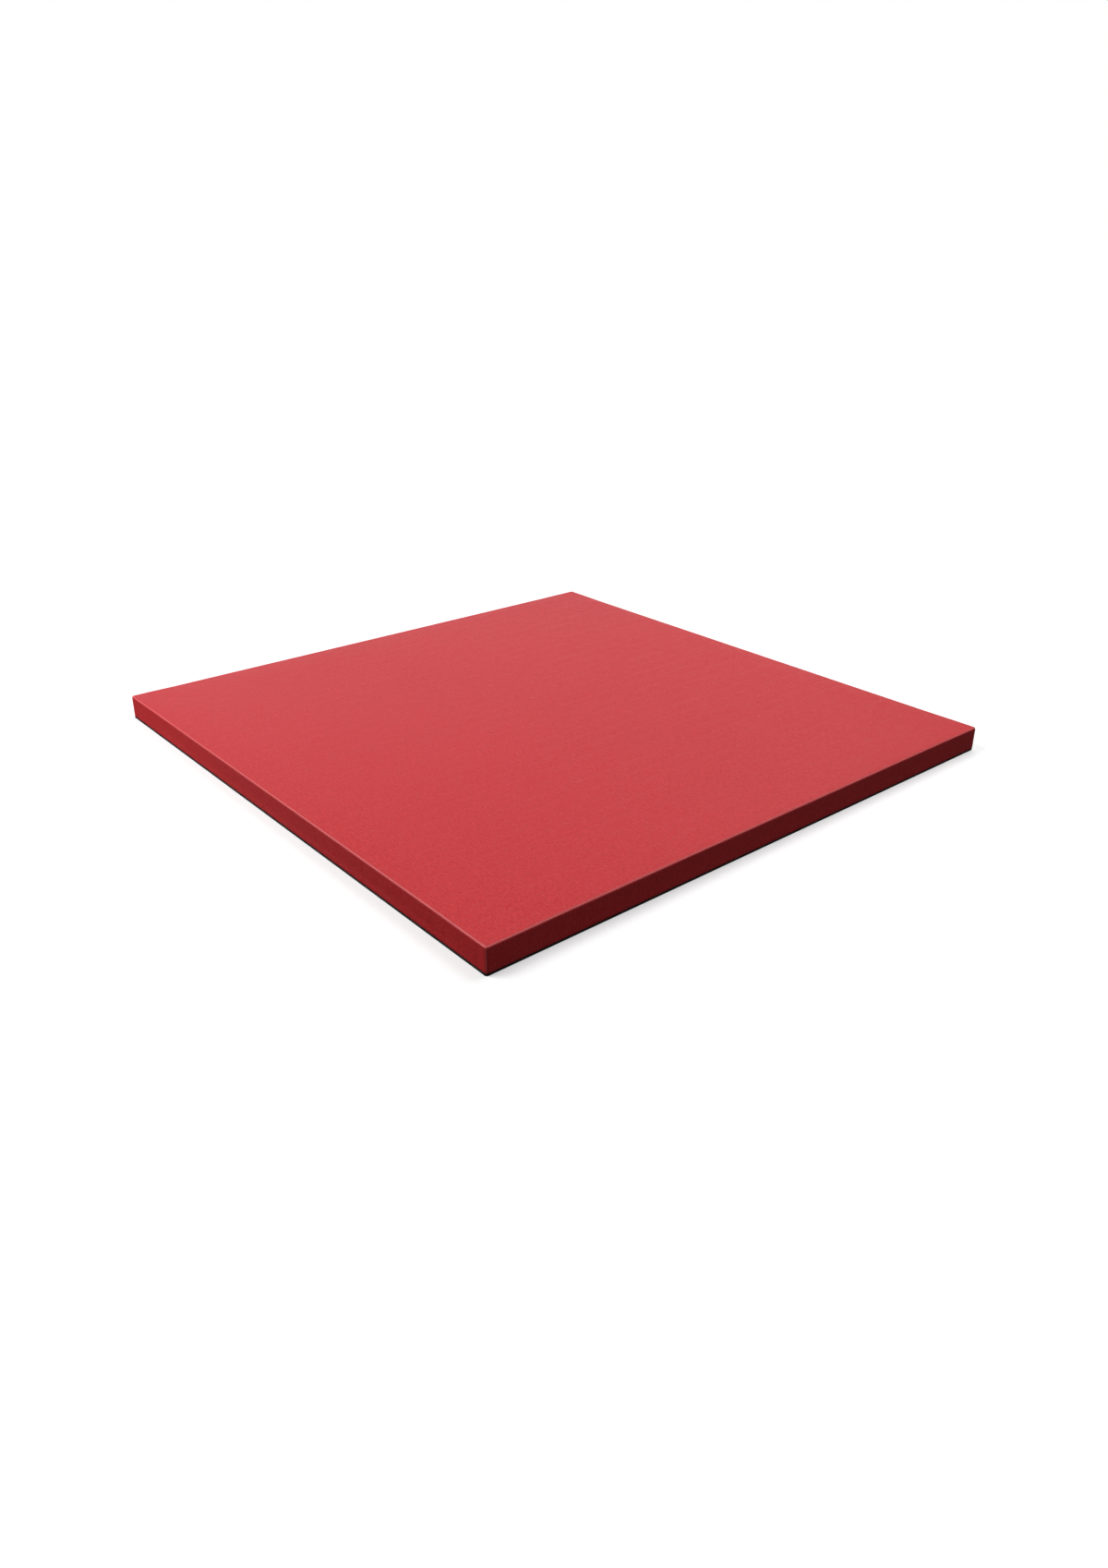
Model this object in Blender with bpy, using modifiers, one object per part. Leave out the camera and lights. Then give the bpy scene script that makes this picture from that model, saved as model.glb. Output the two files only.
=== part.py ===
"""Square landing mat, 1 m by 1 m by 40 mm: a foam slab in a zipped vinyl cover on an anti-slip base.

The mat lies flat, with its underside at z = 0 and its centre on the Z axis. The front wall faces -Y, and the
zip is in the back wall, which faces +Y. Metres, +Z up.
"""

import bmesh
import bpy

# The mat
SIDE = 1.000
THICKNESS = 0.040
CORNER_RADIUS = 0.004
FOLD_RADIUS = 0.003
CLEARANCE = 0.0003

# Base sheet
BASE_THICKNESS = 0.0025
BASE_EDGE = 0.0006

# Cover: one sheet of vinyl, folded down over the foam and turned in on the base
VINYL = 0.0010
HEM_WIDTH = 0.015
HEM_RADIUS = 0.0015
HEM_Z = BASE_THICKNESS + CLEARANCE

# Angles welded behind the cover's four vertical joins
PATCH_THICKNESS = 0.0008
PATCH_LEG = 0.030
PATCH_LEG_BY_ZIP = 0.012
PATCH_LOW_Z = 0.0045
PATCH_HIGH_Z = 0.0365

# Foam slab: its outer face stands clear of the patches, and a shallow step at its foot clears the hem
CORE_INSET = VINYL + PATCH_THICKNESS + 2 * CLEARANCE
CORE_SIDE = SIDE - 2 * CORE_INSET
CORE_TOP_Z = THICKNESS - VINYL - CLEARANCE
CORE_STEP_Z = HEM_Z + VINYL + CLEARANCE
CORE_STEP_WIDTH = HEM_WIDTH + 0.003
CORE_EDGE = 0.0015

# Zip: everything is measured along X from the mat's centre, and outwards from the back wall's face
WALL_Y = SIDE / 2
ZIP_Z = 0.0205
WINDOW_HALF_LENGTH = 0.480
WINDOW_HEIGHT = 0.013
WINDOW_END_RADIUS = 0.003
TAPE_HALF_LENGTH = 0.486
TAPE_WIDTH = 0.0125
TAPE_FACE = -0.0013
TAPE_THICKNESS = 0.0005
SPLIT = 0.00015
COIL_HALF_LENGTH = 0.472
COIL_WIDTH = 0.0032
COIL_BACK = -0.0010
COIL_FACE = 0.0012
STOP_LENGTH = 0.003
BOTTOM_STOP_LENGTH = 0.004
STOP_GAP = 0.0006
STOP_FACE = 0.0014
END_PATCH_X = 0.4845
END_PATCH_SIZE = (0.014, 0.0008, 0.020)

# Slider and pull tab
SLIDER_LENGTH = 0.017
SLIDER_WIDTH = 0.0104
SLIDER_X = -(COIL_HALF_LENGTH - SLIDER_LENGTH / 2)
PLATE_FACE = 0.0030
CHANNEL_WIDTH = 0.0073
CHANNEL_FACE = 0.0015
BRIDGE_LENGTH = 0.009
BRIDGE_WIDTH = 0.003
BRIDGE_FACE = 0.0056
EYE_LENGTH = 0.0068
EYE_FACE = 0.0047
TAB_THICKNESS = 0.0012
TAB_LENGTH = 0.031
TAB_WIDTH = 0.008
TAB_EYE = (0.0048, 0.0042)
TAB_AXIS = (PLATE_FACE + EYE_FACE) / 2
OVERCUT = 0.0001


def srgb(red, green, blue):
    """The linear colour, with alpha, of an 8-bit sRGB one."""

    def linear(channel):
        c = channel / 255
        return c / 12.92 if c <= 0.04045 else ((c + 0.055) / 1.055) ** 2.4

    return (linear(red), linear(green), linear(blue), 1.0)


def make_material(name, colour, roughness, metallic=0.0):
    material = bpy.data.materials.new(name)
    material.use_nodes = True
    shader = material.node_tree.nodes["Principled BSDF"]
    shader.inputs["Base Color"].default_value = colour
    shader.inputs["Roughness"].default_value = roughness
    shader.inputs["Metallic"].default_value = metallic
    return material


def add_object(name, bm, collection, location=(0.0, 0.0, 0.0)):
    """A new object that holds the bmesh, at a location."""
    mesh = bpy.data.meshes.new(name)
    bm.to_mesh(mesh)
    bm.free()
    piece = bpy.data.objects.new(name, mesh)
    piece.location = location
    collection.objects.link(piece)
    return piece


def finish(piece, material):
    piece.data.materials.append(material)
    return piece


def add_cutter(name, bm, location):
    """A hidden body that a Boolean modifier cuts or joins with."""
    cutter = add_object(name, bm, CUTTERS, location)
    cutter.hide_render = True
    cutter.display_type = "WIRE"
    return cutter


def boolean(piece, other, operation):
    modifier = piece.modifiers.new(operation.title(), "BOOLEAN")
    modifier.operation = operation
    modifier.object = other
    modifier.solver = "EXACT"


def box(low, high):
    """A box between two opposite corners."""
    bm = bmesh.new()
    bmesh.ops.create_cube(bm, size=1.0)
    bmesh.ops.scale(bm, vec=[b - a for a, b in zip(low, high)], verts=bm.verts)
    bmesh.ops.translate(bm, vec=[(a + b) / 2 for a, b in zip(low, high)], verts=bm.verts)
    return bm


def edges_along(bm, axis):
    """The straight edges that run along one axis: 0, 1 or 2."""
    others = [i for i in range(3) if i != axis]
    found = []
    for edge in bm.edges:
        run = edge.verts[1].co - edge.verts[0].co
        if all(abs(run[i]) < 1e-7 for i in others):
            found.append(edge)
    return found


def edges_at_height(bm, z):
    """The edges that lie in the level plane at z."""
    return [e for e in bm.edges if all(abs(v.co.z - z) < 1e-7 for v in e.verts)]


def round_edges(bm, edges, radius, segments):
    bmesh.ops.bevel(bm, geom=edges, offset=radius, segments=segments, profile=0.5, affect="EDGES")


def slab(half, low_z, high_z, corner_radius):
    """A square slab whose four upright corners are rounded."""
    bm = box((-half, -half, low_z), (half, half, high_z))
    round_edges(bm, edges_along(bm, 2), corner_radius, 5)
    return bm


def underside(bm):
    bm.normal_update()
    return min(bm.faces, key=lambda face: face.normal.z)


def draw_in(bm, face, width, drop=0.0):
    """Extrudes a level face, drawn in by a width all round and moved down; returns the new face."""
    half = max(v.co.x for v in face.verts)
    made = bmesh.ops.extrude_face_region(bm, geom=[face])["geom"]
    bmesh.ops.delete(bm, geom=[face], context="FACES_ONLY")
    verts = [g for g in made if isinstance(g, bmesh.types.BMVert)]
    factor = (half - width) / half
    bmesh.ops.scale(bm, vec=(factor, factor, 1.0), verts=verts)
    bmesh.ops.translate(bm, vec=(0.0, 0.0, -drop), verts=verts)
    return next(g for g in made if isinstance(g, bmesh.types.BMFace))


def make_base():
    """The rubber sheet that the mat stands on."""
    bm = slab(SIDE / 2, 0.0, BASE_THICKNESS, CORNER_RADIUS)
    round_edges(bm, edges_at_height(bm, 0.0), BASE_EDGE, 1)
    base = add_object("anti_slip_base", bm, MAT)
    return finish(base, make_material("black_rubber", srgb(24, 22, 23), 0.85))


def make_core():
    """The foam slab, stepped up round its foot where the cover's hem lies under it."""
    bm = slab(CORE_SIDE / 2, CORE_STEP_Z, CORE_TOP_Z, CORNER_RADIUS - CORE_INSET)
    round_edges(bm, edges_at_height(bm, CORE_TOP_Z), CORE_EDGE, 2)
    foot = draw_in(bm, underside(bm), CORE_STEP_WIDTH)
    draw_in(bm, foot, 0.0, CORE_STEP_Z - HEM_Z)
    core = add_object("foam_core", bm, MAT)
    return finish(core, make_material("rebonded_foam", srgb(96, 110, 128), 0.95))


def make_cover():
    """The vinyl sheet: top, walls and turned-in hem, with a window in the back wall for the zip."""
    bm = slab(SIDE / 2, HEM_Z, THICKNESS, CORNER_RADIUS)
    round_edges(bm, edges_at_height(bm, THICKNESS), FOLD_RADIUS, 4)
    mouth = draw_in(bm, underside(bm), HEM_WIDTH)
    bmesh.ops.delete(bm, geom=[mouth], context="FACES")
    inner = SIDE / 2 - HEM_WIDTH + 1e-5
    outer_loop = [
        e
        for e in edges_at_height(bm, HEM_Z)
        if all(max(abs(v.co.x), abs(v.co.y)) > inner for v in e.verts)
    ]
    round_edges(bm, outer_loop, HEM_RADIUS, 2)
    cover = add_object("tatami_cover", bm, MAT)
    wall = cover.modifiers.new("Vinyl", "SOLIDIFY")
    wall.thickness = VINYL
    wall.offset = -1.0
    wall.use_even_offset = True
    wall.use_quality_normals = True
    boolean(cover, make_window_cutter(), "DIFFERENCE")
    return finish(cover, make_material("red_vinyl", srgb(203, 77, 82), 0.5))


def make_window_cutter():
    reach = 0.005
    low = (-WINDOW_HALF_LENGTH, -reach, -WINDOW_HEIGHT / 2)
    high = (WINDOW_HALF_LENGTH, reach, WINDOW_HEIGHT / 2)
    bm = box(low, high)
    round_edges(bm, edges_along(bm, 1), WINDOW_END_RADIUS, 4)
    return add_cutter("zip_window_cutter", bm, (0.0, WALL_Y, ZIP_Z))


def make_corner_patch(name, side_x, side_y, leg_x, material):
    """A thin vinyl angle in one of the cover's upright corners, between the cover and the foam."""
    face = SIDE / 2 - VINYL - CLEARANCE
    corner = (side_x * face, side_y * face)
    far = (side_x * (face - leg_x), side_y * (face - PATCH_LEG))
    low = [min(a, b) for a, b in zip(corner, far)] + [PATCH_LOW_Z]
    high = [max(a, b) for a, b in zip(corner, far)] + [PATCH_HIGH_Z]
    bm = box(low, high)
    bm.normal_update()
    kept = ((side_x, 0, 0), (0, side_y, 0))
    unused = [f for f in bm.faces if all(f.normal.dot(way) < 0.5 for way in kept)]
    bmesh.ops.delete(bm, geom=unused, context="FACES")
    bend = [e for e in edges_along(bm, 2) if len(e.link_faces) == 2]
    round_edges(bm, bend, CORNER_RADIUS - VINYL - CLEARANCE, 5)
    patch = add_object(name, bm, MAT)
    wall = patch.modifiers.new("Vinyl", "SOLIDIFY")
    wall.thickness = PATCH_THICKNESS
    wall.offset = -1.0
    wall.use_even_offset = True
    return finish(patch, material)


def make_corner_patches():
    material = make_material("red_vinyl_backing", srgb(168, 60, 62), 0.6)
    for end, side_y, leg_x in (("front", -1, PATCH_LEG), ("back", 1, PATCH_LEG_BY_ZIP)):
        for side, side_x in (("left", -1), ("right", 1)):
            make_corner_patch(f"corner_patch_{end}_{side}", side_x, side_y, leg_x, material)


def zip_row(name, half_length, back, face, width, side, edge, material):
    """A straight strip of the zip, above (side 1) or below (side -1) its split line."""
    near, far = side * SPLIT, side * (SPLIT + width)
    bm = box((-half_length, back, min(near, far)), (half_length, face, max(near, far)))
    if edge:
        round_edges(bm, edges_along(bm, 0), edge, 2)
    return finish(add_object(name, bm, MAT, (0.0, WALL_Y, ZIP_Z)), material)


def make_zip_rows():
    tape = make_material("zip_tape", srgb(28, 27, 30), 0.9)
    teeth = make_material("zip_coil", srgb(38, 37, 40), 0.45)
    tape_back = TAPE_FACE - TAPE_THICKNESS
    for half, side in (("upper", 1), ("lower", -1)):
        zip_row(f"zip_tape_{half}", TAPE_HALF_LENGTH, tape_back, TAPE_FACE, TAPE_WIDTH, side, 0.0, tape)
        zip_row(f"zip_coil_{half}", COIL_HALF_LENGTH, COIL_BACK, COIL_FACE, COIL_WIDTH, side, 0.0008, teeth)


def make_stops():
    """Two small stops at the closed end of the zip, one for each row, and one clamp over both at the other."""
    metal = make_material("zip_stop_metal", srgb(120, 120, 124), 0.35, 1.0)
    high = SPLIT + COIL_WIDTH
    for half, side in (("upper", 1), ("lower", -1)):
        near, far = side * SPLIT, side * high
        bm = box(
            (-STOP_LENGTH / 2, COIL_BACK, min(near, far)),
            (STOP_LENGTH / 2, COIL_FACE, max(near, far)),
        )
        round_edges(bm, edges_along(bm, 1), 0.0005, 2)
        x = -(COIL_HALF_LENGTH + STOP_GAP + STOP_LENGTH / 2)
        finish(add_object(f"zip_top_stop_{half}", bm, MAT, (x, WALL_Y, ZIP_Z)), metal)
    bm = box((-BOTTOM_STOP_LENGTH / 2, COIL_BACK, -high), (BOTTOM_STOP_LENGTH / 2, STOP_FACE, high))
    round_edges(bm, edges_along(bm, 1), 0.0006, 2)
    x = COIL_HALF_LENGTH + STOP_GAP + BOTTOM_STOP_LENGTH / 2
    finish(add_object("zip_bottom_stop", bm, MAT, (x, WALL_Y, ZIP_Z)), metal)


def make_end_patches():
    material = make_material("end_patch_vinyl", srgb(188, 66, 70), 0.5)
    length, thickness, height = END_PATCH_SIZE
    for side, sign in (("left", -1), ("right", 1)):
        bm = box((-length / 2, CLEARANCE, -height / 2), (length / 2, CLEARANCE + thickness, height / 2))
        round_edges(bm, edges_along(bm, 1), 0.0025, 3)
        place = (sign * END_PATCH_X, WALL_Y, ZIP_Z)
        finish(add_object(f"zip_end_patch_{side}", bm, MAT, place), material)


def make_slider(material):
    """A saddle over both coils, with a bridge on its face that holds the pull tab."""
    place = (SLIDER_X, WALL_Y, ZIP_Z)
    half = SLIDER_LENGTH / 2
    bm = box((-half, COIL_BACK, -SLIDER_WIDTH / 2), (half, PLATE_FACE, SLIDER_WIDTH / 2))
    round_edges(bm, edges_along(bm, 1), 0.0025, 3)
    slider = add_object("zip_slider", bm, MAT, place)

    bridge = box(
        (-BRIDGE_LENGTH / 2, CHANNEL_FACE + CLEARANCE, -BRIDGE_WIDTH / 2),
        (BRIDGE_LENGTH / 2, BRIDGE_FACE, BRIDGE_WIDTH / 2),
    )
    outer = [e for e in edges_along(bridge, 2) if all(v.co.y > PLATE_FACE for v in e.verts)]
    round_edges(bridge, outer, 0.0012, 3)
    boolean(slider, add_cutter("slider_bridge", bridge, place), "UNION")

    eye = box(
        (-EYE_LENGTH / 2, PLATE_FACE, -BRIDGE_WIDTH), (EYE_LENGTH / 2, EYE_FACE, BRIDGE_WIDTH)
    )
    bmesh.ops.translate(eye, vec=(0.0, OVERCUT, 0.0), verts=eye.verts)
    boolean(slider, add_cutter("slider_eye_cutter", eye, place), "DIFFERENCE")

    channel = box(
        (-SLIDER_LENGTH, COIL_BACK - 0.001, -CHANNEL_WIDTH / 2),
        (SLIDER_LENGTH, CHANNEL_FACE, CHANNEL_WIDTH / 2),
    )
    boolean(slider, add_cutter("slider_channel_cutter", channel, place), "DIFFERENCE")
    return finish(slider, material)


def make_pull_tab(slider, material):
    """The flat pull tab. Its origin is on its hinge axis, the bar that runs through the slider's bridge."""
    half = TAB_THICKNESS / 2
    bm = box((-half, -half, -TAB_WIDTH / 2), (TAB_LENGTH - half, half, TAB_WIDTH / 2))
    round_edges(bm, [e for e in edges_along(bm, 1) if e.verts[0].co.x > 0], 0.003, 4)
    bar = [e for e in edges_along(bm, 2) if e.verts[0].co.x < 0]
    round_edges(bm, bar, 0.0004, 2)
    tab = add_object("zip_pull_tab", bm, MAT)
    tab.parent = slider
    tab.location = (0.0, TAB_AXIS, 0.0)
    length, height = TAB_EYE
    eye = box((half, -0.002, -height / 2), (half + length, 0.002, height / 2))
    place = (SLIDER_X, WALL_Y + TAB_AXIS, ZIP_Z)
    boolean(tab, add_cutter("tab_eye_cutter", eye, place), "DIFFERENCE")
    return finish(tab, material)


def clear_scene():
    for piece in list(bpy.data.objects):
        bpy.data.objects.remove(piece, do_unlink=True)


def new_collection(name):
    collection = bpy.data.collections.new(name)
    bpy.context.scene.collection.children.link(collection)
    return collection


def make_mat():
    make_base()
    make_core()
    make_cover()
    make_corner_patches()
    make_zip_rows()
    make_stops()
    make_end_patches()
    metal = make_material("slider_metal", srgb(52, 52, 55), 0.4, 1.0)
    make_pull_tab(make_slider(metal), metal)


clear_scene()
MAT = new_collection("landing_mat")
CUTTERS = new_collection("cutters")
make_mat()
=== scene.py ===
"""The looks of the landing mat: tatami-embossed red vinyl over a foam slab, a black anti-slip base and a zip.

Everything is in metres in the mat's own frame: underside at z = 0, centre on the Z axis, zip in the +Y wall.
"""

import math

import bmesh
import bpy
import numpy as np
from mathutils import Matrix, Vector


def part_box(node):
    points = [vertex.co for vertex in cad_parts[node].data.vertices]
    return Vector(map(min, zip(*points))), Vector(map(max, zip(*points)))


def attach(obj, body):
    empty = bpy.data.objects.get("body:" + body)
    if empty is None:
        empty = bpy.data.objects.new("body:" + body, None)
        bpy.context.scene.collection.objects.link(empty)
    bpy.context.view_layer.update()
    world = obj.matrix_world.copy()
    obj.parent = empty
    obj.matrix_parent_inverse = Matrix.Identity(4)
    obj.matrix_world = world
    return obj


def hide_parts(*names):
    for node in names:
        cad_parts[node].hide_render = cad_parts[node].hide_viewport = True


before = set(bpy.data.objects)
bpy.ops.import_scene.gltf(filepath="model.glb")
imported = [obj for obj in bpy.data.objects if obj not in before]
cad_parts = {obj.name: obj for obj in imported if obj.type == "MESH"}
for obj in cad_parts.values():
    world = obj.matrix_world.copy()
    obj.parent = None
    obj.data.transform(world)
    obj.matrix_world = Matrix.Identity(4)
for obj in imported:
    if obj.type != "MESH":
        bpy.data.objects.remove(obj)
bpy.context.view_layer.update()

MM = 0.001

# The cover, as the frame gives it
COVER_LOW, COVER_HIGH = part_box("tatami_cover")
HALF = COVER_HIGH.x
TOP = COVER_HIGH.z
FOOT = COVER_LOW.z
DROP = TOP - FOOT
CORNER = 4 * MM
FOLD = 4 * MM
HEM_FOLD = 1.5 * MM
HEM = 15 * MM
# How far behind the vinyl's outer face the foam and the corner patches start
LINING = 1.3 * MM

# The zip: its window in the back wall is centred between the two coils
COIL_LOW, COIL_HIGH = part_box("zip_coil_lower")[0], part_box("zip_coil_upper")[1]
ZIP_Z = (COIL_LOW.z + COIL_HIGH.z) / 2
WINDOW_X = 480 * MM
WINDOW_Z = 6.5 * MM

# The straw emboss: straws run along X, and the warp divides them into columns
STRAW = 2.1 * MM
STRAW_DEPTH = 0.3 * MM
COLUMN = 30 * MM
ROWS_PER_STRAW = 4

# The cloth simulation's net, and how far it may move the vinyl
NET = 25 * MM
GIVE = 0.8 * MM


# ---------------------------------------------------------------- node trees


class Value:
    """A node's output. Python's operators on it add Math nodes."""

    def __init__(self, graph, socket):
        self.graph, self.socket = graph, socket

    def maths(self, operation, *terms):
        return self.graph.maths(operation, *terms)

    def __add__(self, other):
        return self.maths("ADD", self, other)

    def __radd__(self, other):
        return self.maths("ADD", other, self)

    def __sub__(self, other):
        return self.maths("SUBTRACT", self, other)

    def __rsub__(self, other):
        return self.maths("SUBTRACT", other, self)

    def __mul__(self, other):
        return self.maths("MULTIPLY", self, other)

    def __rmul__(self, other):
        return self.maths("MULTIPLY", other, self)

    def __truediv__(self, other):
        return self.maths("DIVIDE", self, other)

    def __pow__(self, other):
        return self.maths("POWER", self, other)


class Graph:
    """A node tree that is built by calls."""

    def __init__(self, tree):
        self.tree = tree

    def node(self, kind, settings=None, inputs=None, output=0):
        """Adds a node. Settings come first, then each socket, by name or number, takes a value or a link."""
        made = self.tree.nodes.new(kind)
        for name, value in (settings or {}).items():
            if name == "stops":
                self.set_stops(made.color_ramp, value)
            elif name == "constant":
                made.color_ramp.interpolation = "CONSTANT"
            else:
                setattr(made, name, value)
        for key, value in (inputs or {}).items():
            if isinstance(value, Value):
                self.tree.links.new(value.socket, made.inputs[key])
            else:
                made.inputs[key].default_value = value
        return Value(self, made.outputs[output])

    @staticmethod
    def set_stops(ramp, stops):
        while len(ramp.elements) < len(stops):
            ramp.elements.new(0.5)
        for element, (place, colour) in zip(ramp.elements, stops):
            element.position = place
            element.color = colour

    def maths(self, operation, *terms):
        return self.node("ShaderNodeMath", {"operation": operation}, dict(enumerate(terms)))

    def xyz(self, x=0.0, y=0.0, z=0.0):
        return self.node("ShaderNodeCombineXYZ", None, {0: x, 1: y, 2: z})

    def split(self, vector):
        return [self.node("ShaderNodeSeparateXYZ", None, {0: vector}, i) for i in range(3)]

    def noise(self, vector, scale=1.0, detail=0.0, roughness=0.5):
        """Smooth noise from about -1 to 1."""
        inputs = {"Vector": vector, "Scale": scale, "Detail": detail, "Roughness": roughness}
        return self.node("ShaderNodeTexNoise", None, inputs) * 2.0 - 1.0

    def ease(self, value, low, high):
        """0 below low, 1 above high, and a smooth step between them."""
        return self.node(
            "ShaderNodeMapRange",
            {"interpolation_type": "SMOOTHSTEP"},
            {"Value": value, "From Min": low, "From Max": high},
        )

    def blend(self, factor, a, b):
        """A colour between a and b."""
        return self.node("ShaderNodeMix", {"data_type": "RGBA"}, {0: factor, 6: a, 7: b}, 2)


class Finish(Graph):
    """A procedural material."""

    def __init__(self, name, roughness=0.5, **constants):
        self.material = bpy.data.materials.new(name)
        self.material.use_nodes = True
        super().__init__(self.material.node_tree)
        self.shader = self.tree.nodes["Principled BSDF"]
        self.set("Roughness", roughness)
        for socket, value in constants.items():
            self.set(socket.replace("_", " ").title().replace("Ior", "IOR"), value)

    def set(self, socket, value):
        if isinstance(value, Value):
            self.tree.links.new(value.socket, self.shader.inputs[socket])
        else:
            self.shader.inputs[socket].default_value = value

    def place(self, scale=1.0):
        """Object coordinates, in metres times scale."""
        position = self.node("ShaderNodeTexCoord", None, None, 3)
        return self.node(
            "ShaderNodeVectorMath", {"operation": "SCALE"}, {0: position, "Scale": scale}
        )

    def relief(self, height, depth):
        """Bumps the surface by height, a value of about 0 to 1, times depth in metres."""
        bump = self.node("ShaderNodeBump", None, {"Height": height, "Distance": depth, "Strength": 1.0})
        self.set("Normal", bump)


def srgb(red, green, blue):
    """The linear colour, with alpha, of an 8-bit sRGB one."""

    def linear(channel):
        c = channel / 255
        return c / 12.92 if c <= 0.04045 else ((c + 0.055) / 1.055) ** 2.4

    return (linear(red), linear(green), linear(blue), 1.0)


# ---------------------------------------------------------------- camera, light and floor


def aim(thing, target, roll=0.0):
    """Turns a camera or lamp at a point, and then round its own line of sight."""
    way = Vector(target) - thing.location
    thing.rotation_euler = way.to_track_quat("-Z", "Y").to_euler()
    thing.rotation_euler.rotate_axis("Z", roll)


def towards(azimuth, elevation):
    """The way from the mat to something seen at an azimuth (0 is the front) and an elevation, in degrees."""
    a, e = math.radians(azimuth), math.radians(elevation)
    return Vector((math.sin(a) * math.cos(e), -math.cos(a) * math.cos(e), math.sin(e)))


def make_camera():
    """The camera, which looks down on the mat over its front right corner."""
    target = Vector((0.1946, -0.1405, 0.02))
    camera = bpy.data.objects.new("camera", bpy.data.cameras.new("camera"))
    camera.data.lens = 26.74
    camera.data.sensor_width = 36.0
    camera.data.clip_start = 0.01
    camera.location = target + towards(49.52, 25.71) * 1.7338
    aim(camera, target, math.radians(0.425))
    bpy.context.scene.collection.objects.link(camera)
    bpy.context.scene.camera = camera


def make_softbox(name, azimuth, elevation, distance, size, power, colour=(1.0, 1.0, 1.0)):
    """A soft lamp that faces the mat's centre."""
    lamp = bpy.data.lights.new(name, "AREA")
    lamp.color = colour
    lamp.shape = "RECTANGLE"
    lamp.size, lamp.size_y = size
    lamp.energy = power
    softbox = bpy.data.objects.new(name, lamp)
    softbox.location = towards(azimuth, elevation) * distance
    softbox.visible_camera = False
    aim(softbox, (0.0, 0.0, 0.0))
    bpy.context.scene.collection.objects.link(softbox)


def make_light():
    """Six soft lamps, and a surround that looks white but lights the mat only weakly."""
    make_softbox("key_softbox", -30.0, 52.0, 3.6, (2.0, 2.0), 90.0)
    make_softbox("overhead_softbox", 170.0, 62.0, 2.9, (2.0, 2.0), 56.0)
    make_softbox("left_softbox", -31.0, 20.0, 1.85, (0.8, 0.8), 1.2)
    make_softbox("left_strip", -27.6, 7.2, 1.2, (0.6, 0.2), 1.2)
    make_softbox("right_card", 80.0, 20.0, 3.0, (2.0, 1.0), 3.6)
    make_softbox("back_card", 236.0, 18.0, 3.5, (5.0, 2.0), 35.0, colour=(0.88, 0.94, 1.0))
    world = bpy.data.worlds.new("studio")
    bpy.context.scene.world = world
    world.use_nodes = True
    graph = Graph(world.node_tree)
    seen = graph.node("ShaderNodeLightPath")
    white = (1.0, 1.0, 1.0, 1.0)
    fill = graph.node("ShaderNodeBackground", None, {"Color": white, "Strength": 0.1})
    pale = graph.node("ShaderNodeBackground", None, {"Color": white, "Strength": 1.0})
    mixed = graph.node("ShaderNodeMixShader", None, {0: seen, 1: fill, 2: pale})
    world.node_tree.links.new(mixed.socket, world.node_tree.nodes["World Output"].inputs[0])


def make_floor():
    """A wide disc of pale paper just under the mat. It turns as white as the surround further out."""
    bm = bmesh.new()
    bmesh.ops.create_circle(bm, cap_ends=True, radius=40.0, segments=96)
    mesh = bpy.data.meshes.new("floor")
    bm.to_mesh(mesh)
    bm.free()
    floor = bpy.data.objects.new("floor", mesh)
    floor.location.z = -0.2 * MM
    floor.visible_diffuse = False
    floor.visible_glossy = False
    bpy.context.scene.collection.objects.link(floor)
    paper = Finish("floor_paper", roughness=0.9)
    x, y, _ = paper.split(paper.place())
    out = (x * x + y * y) ** 0.5
    paper.set("Base Color", (0.6, 0.6, 0.6, 1.0))
    near, far = (0.45, 0.45, 0.45, 1.0), (1.0, 1.0, 1.0, 1.0)
    paper.set("Emission Color", paper.blend(paper.ease(out, 0.9, 3.2), near, far))
    paper.set("Emission Strength", 1.0)
    mesh.materials.append(paper.material)


# ---------------------------------------------------------------- the cover's sheet


def fold_profile(path):
    """Where the sheet runs, from distances along it: the inset from the outline, and the height.

    0 is the sharp top edge, less is on the top, more is on the wall, and past DROP it is turned in."""
    inset = np.where(path < 0, -path, 0.0)
    depth = np.clip(path, 0.0, DROP)
    turn = np.clip((path + FOLD) / (2 * FOLD), 0, 1) * math.pi / 2
    in_fold = np.abs(path) < FOLD
    inset = np.where(in_fold, FOLD * (1 - np.sin(turn)), inset)
    depth = np.where(in_fold, FOLD * (1 - np.cos(turn)), depth)
    under = path - DROP
    turn = np.clip((under + HEM_FOLD) / (2 * HEM_FOLD), 0, 1) * math.pi / 2
    in_fold = np.abs(under) < HEM_FOLD
    inset = np.where(under > 0, under, inset)
    inset = np.where(in_fold, HEM_FOLD * (1 - np.cos(turn)), inset)
    depth = np.where(in_fold, DROP - HEM_FOLD * (1 - np.sin(turn)), depth)
    return inset, TOP - depth


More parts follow.
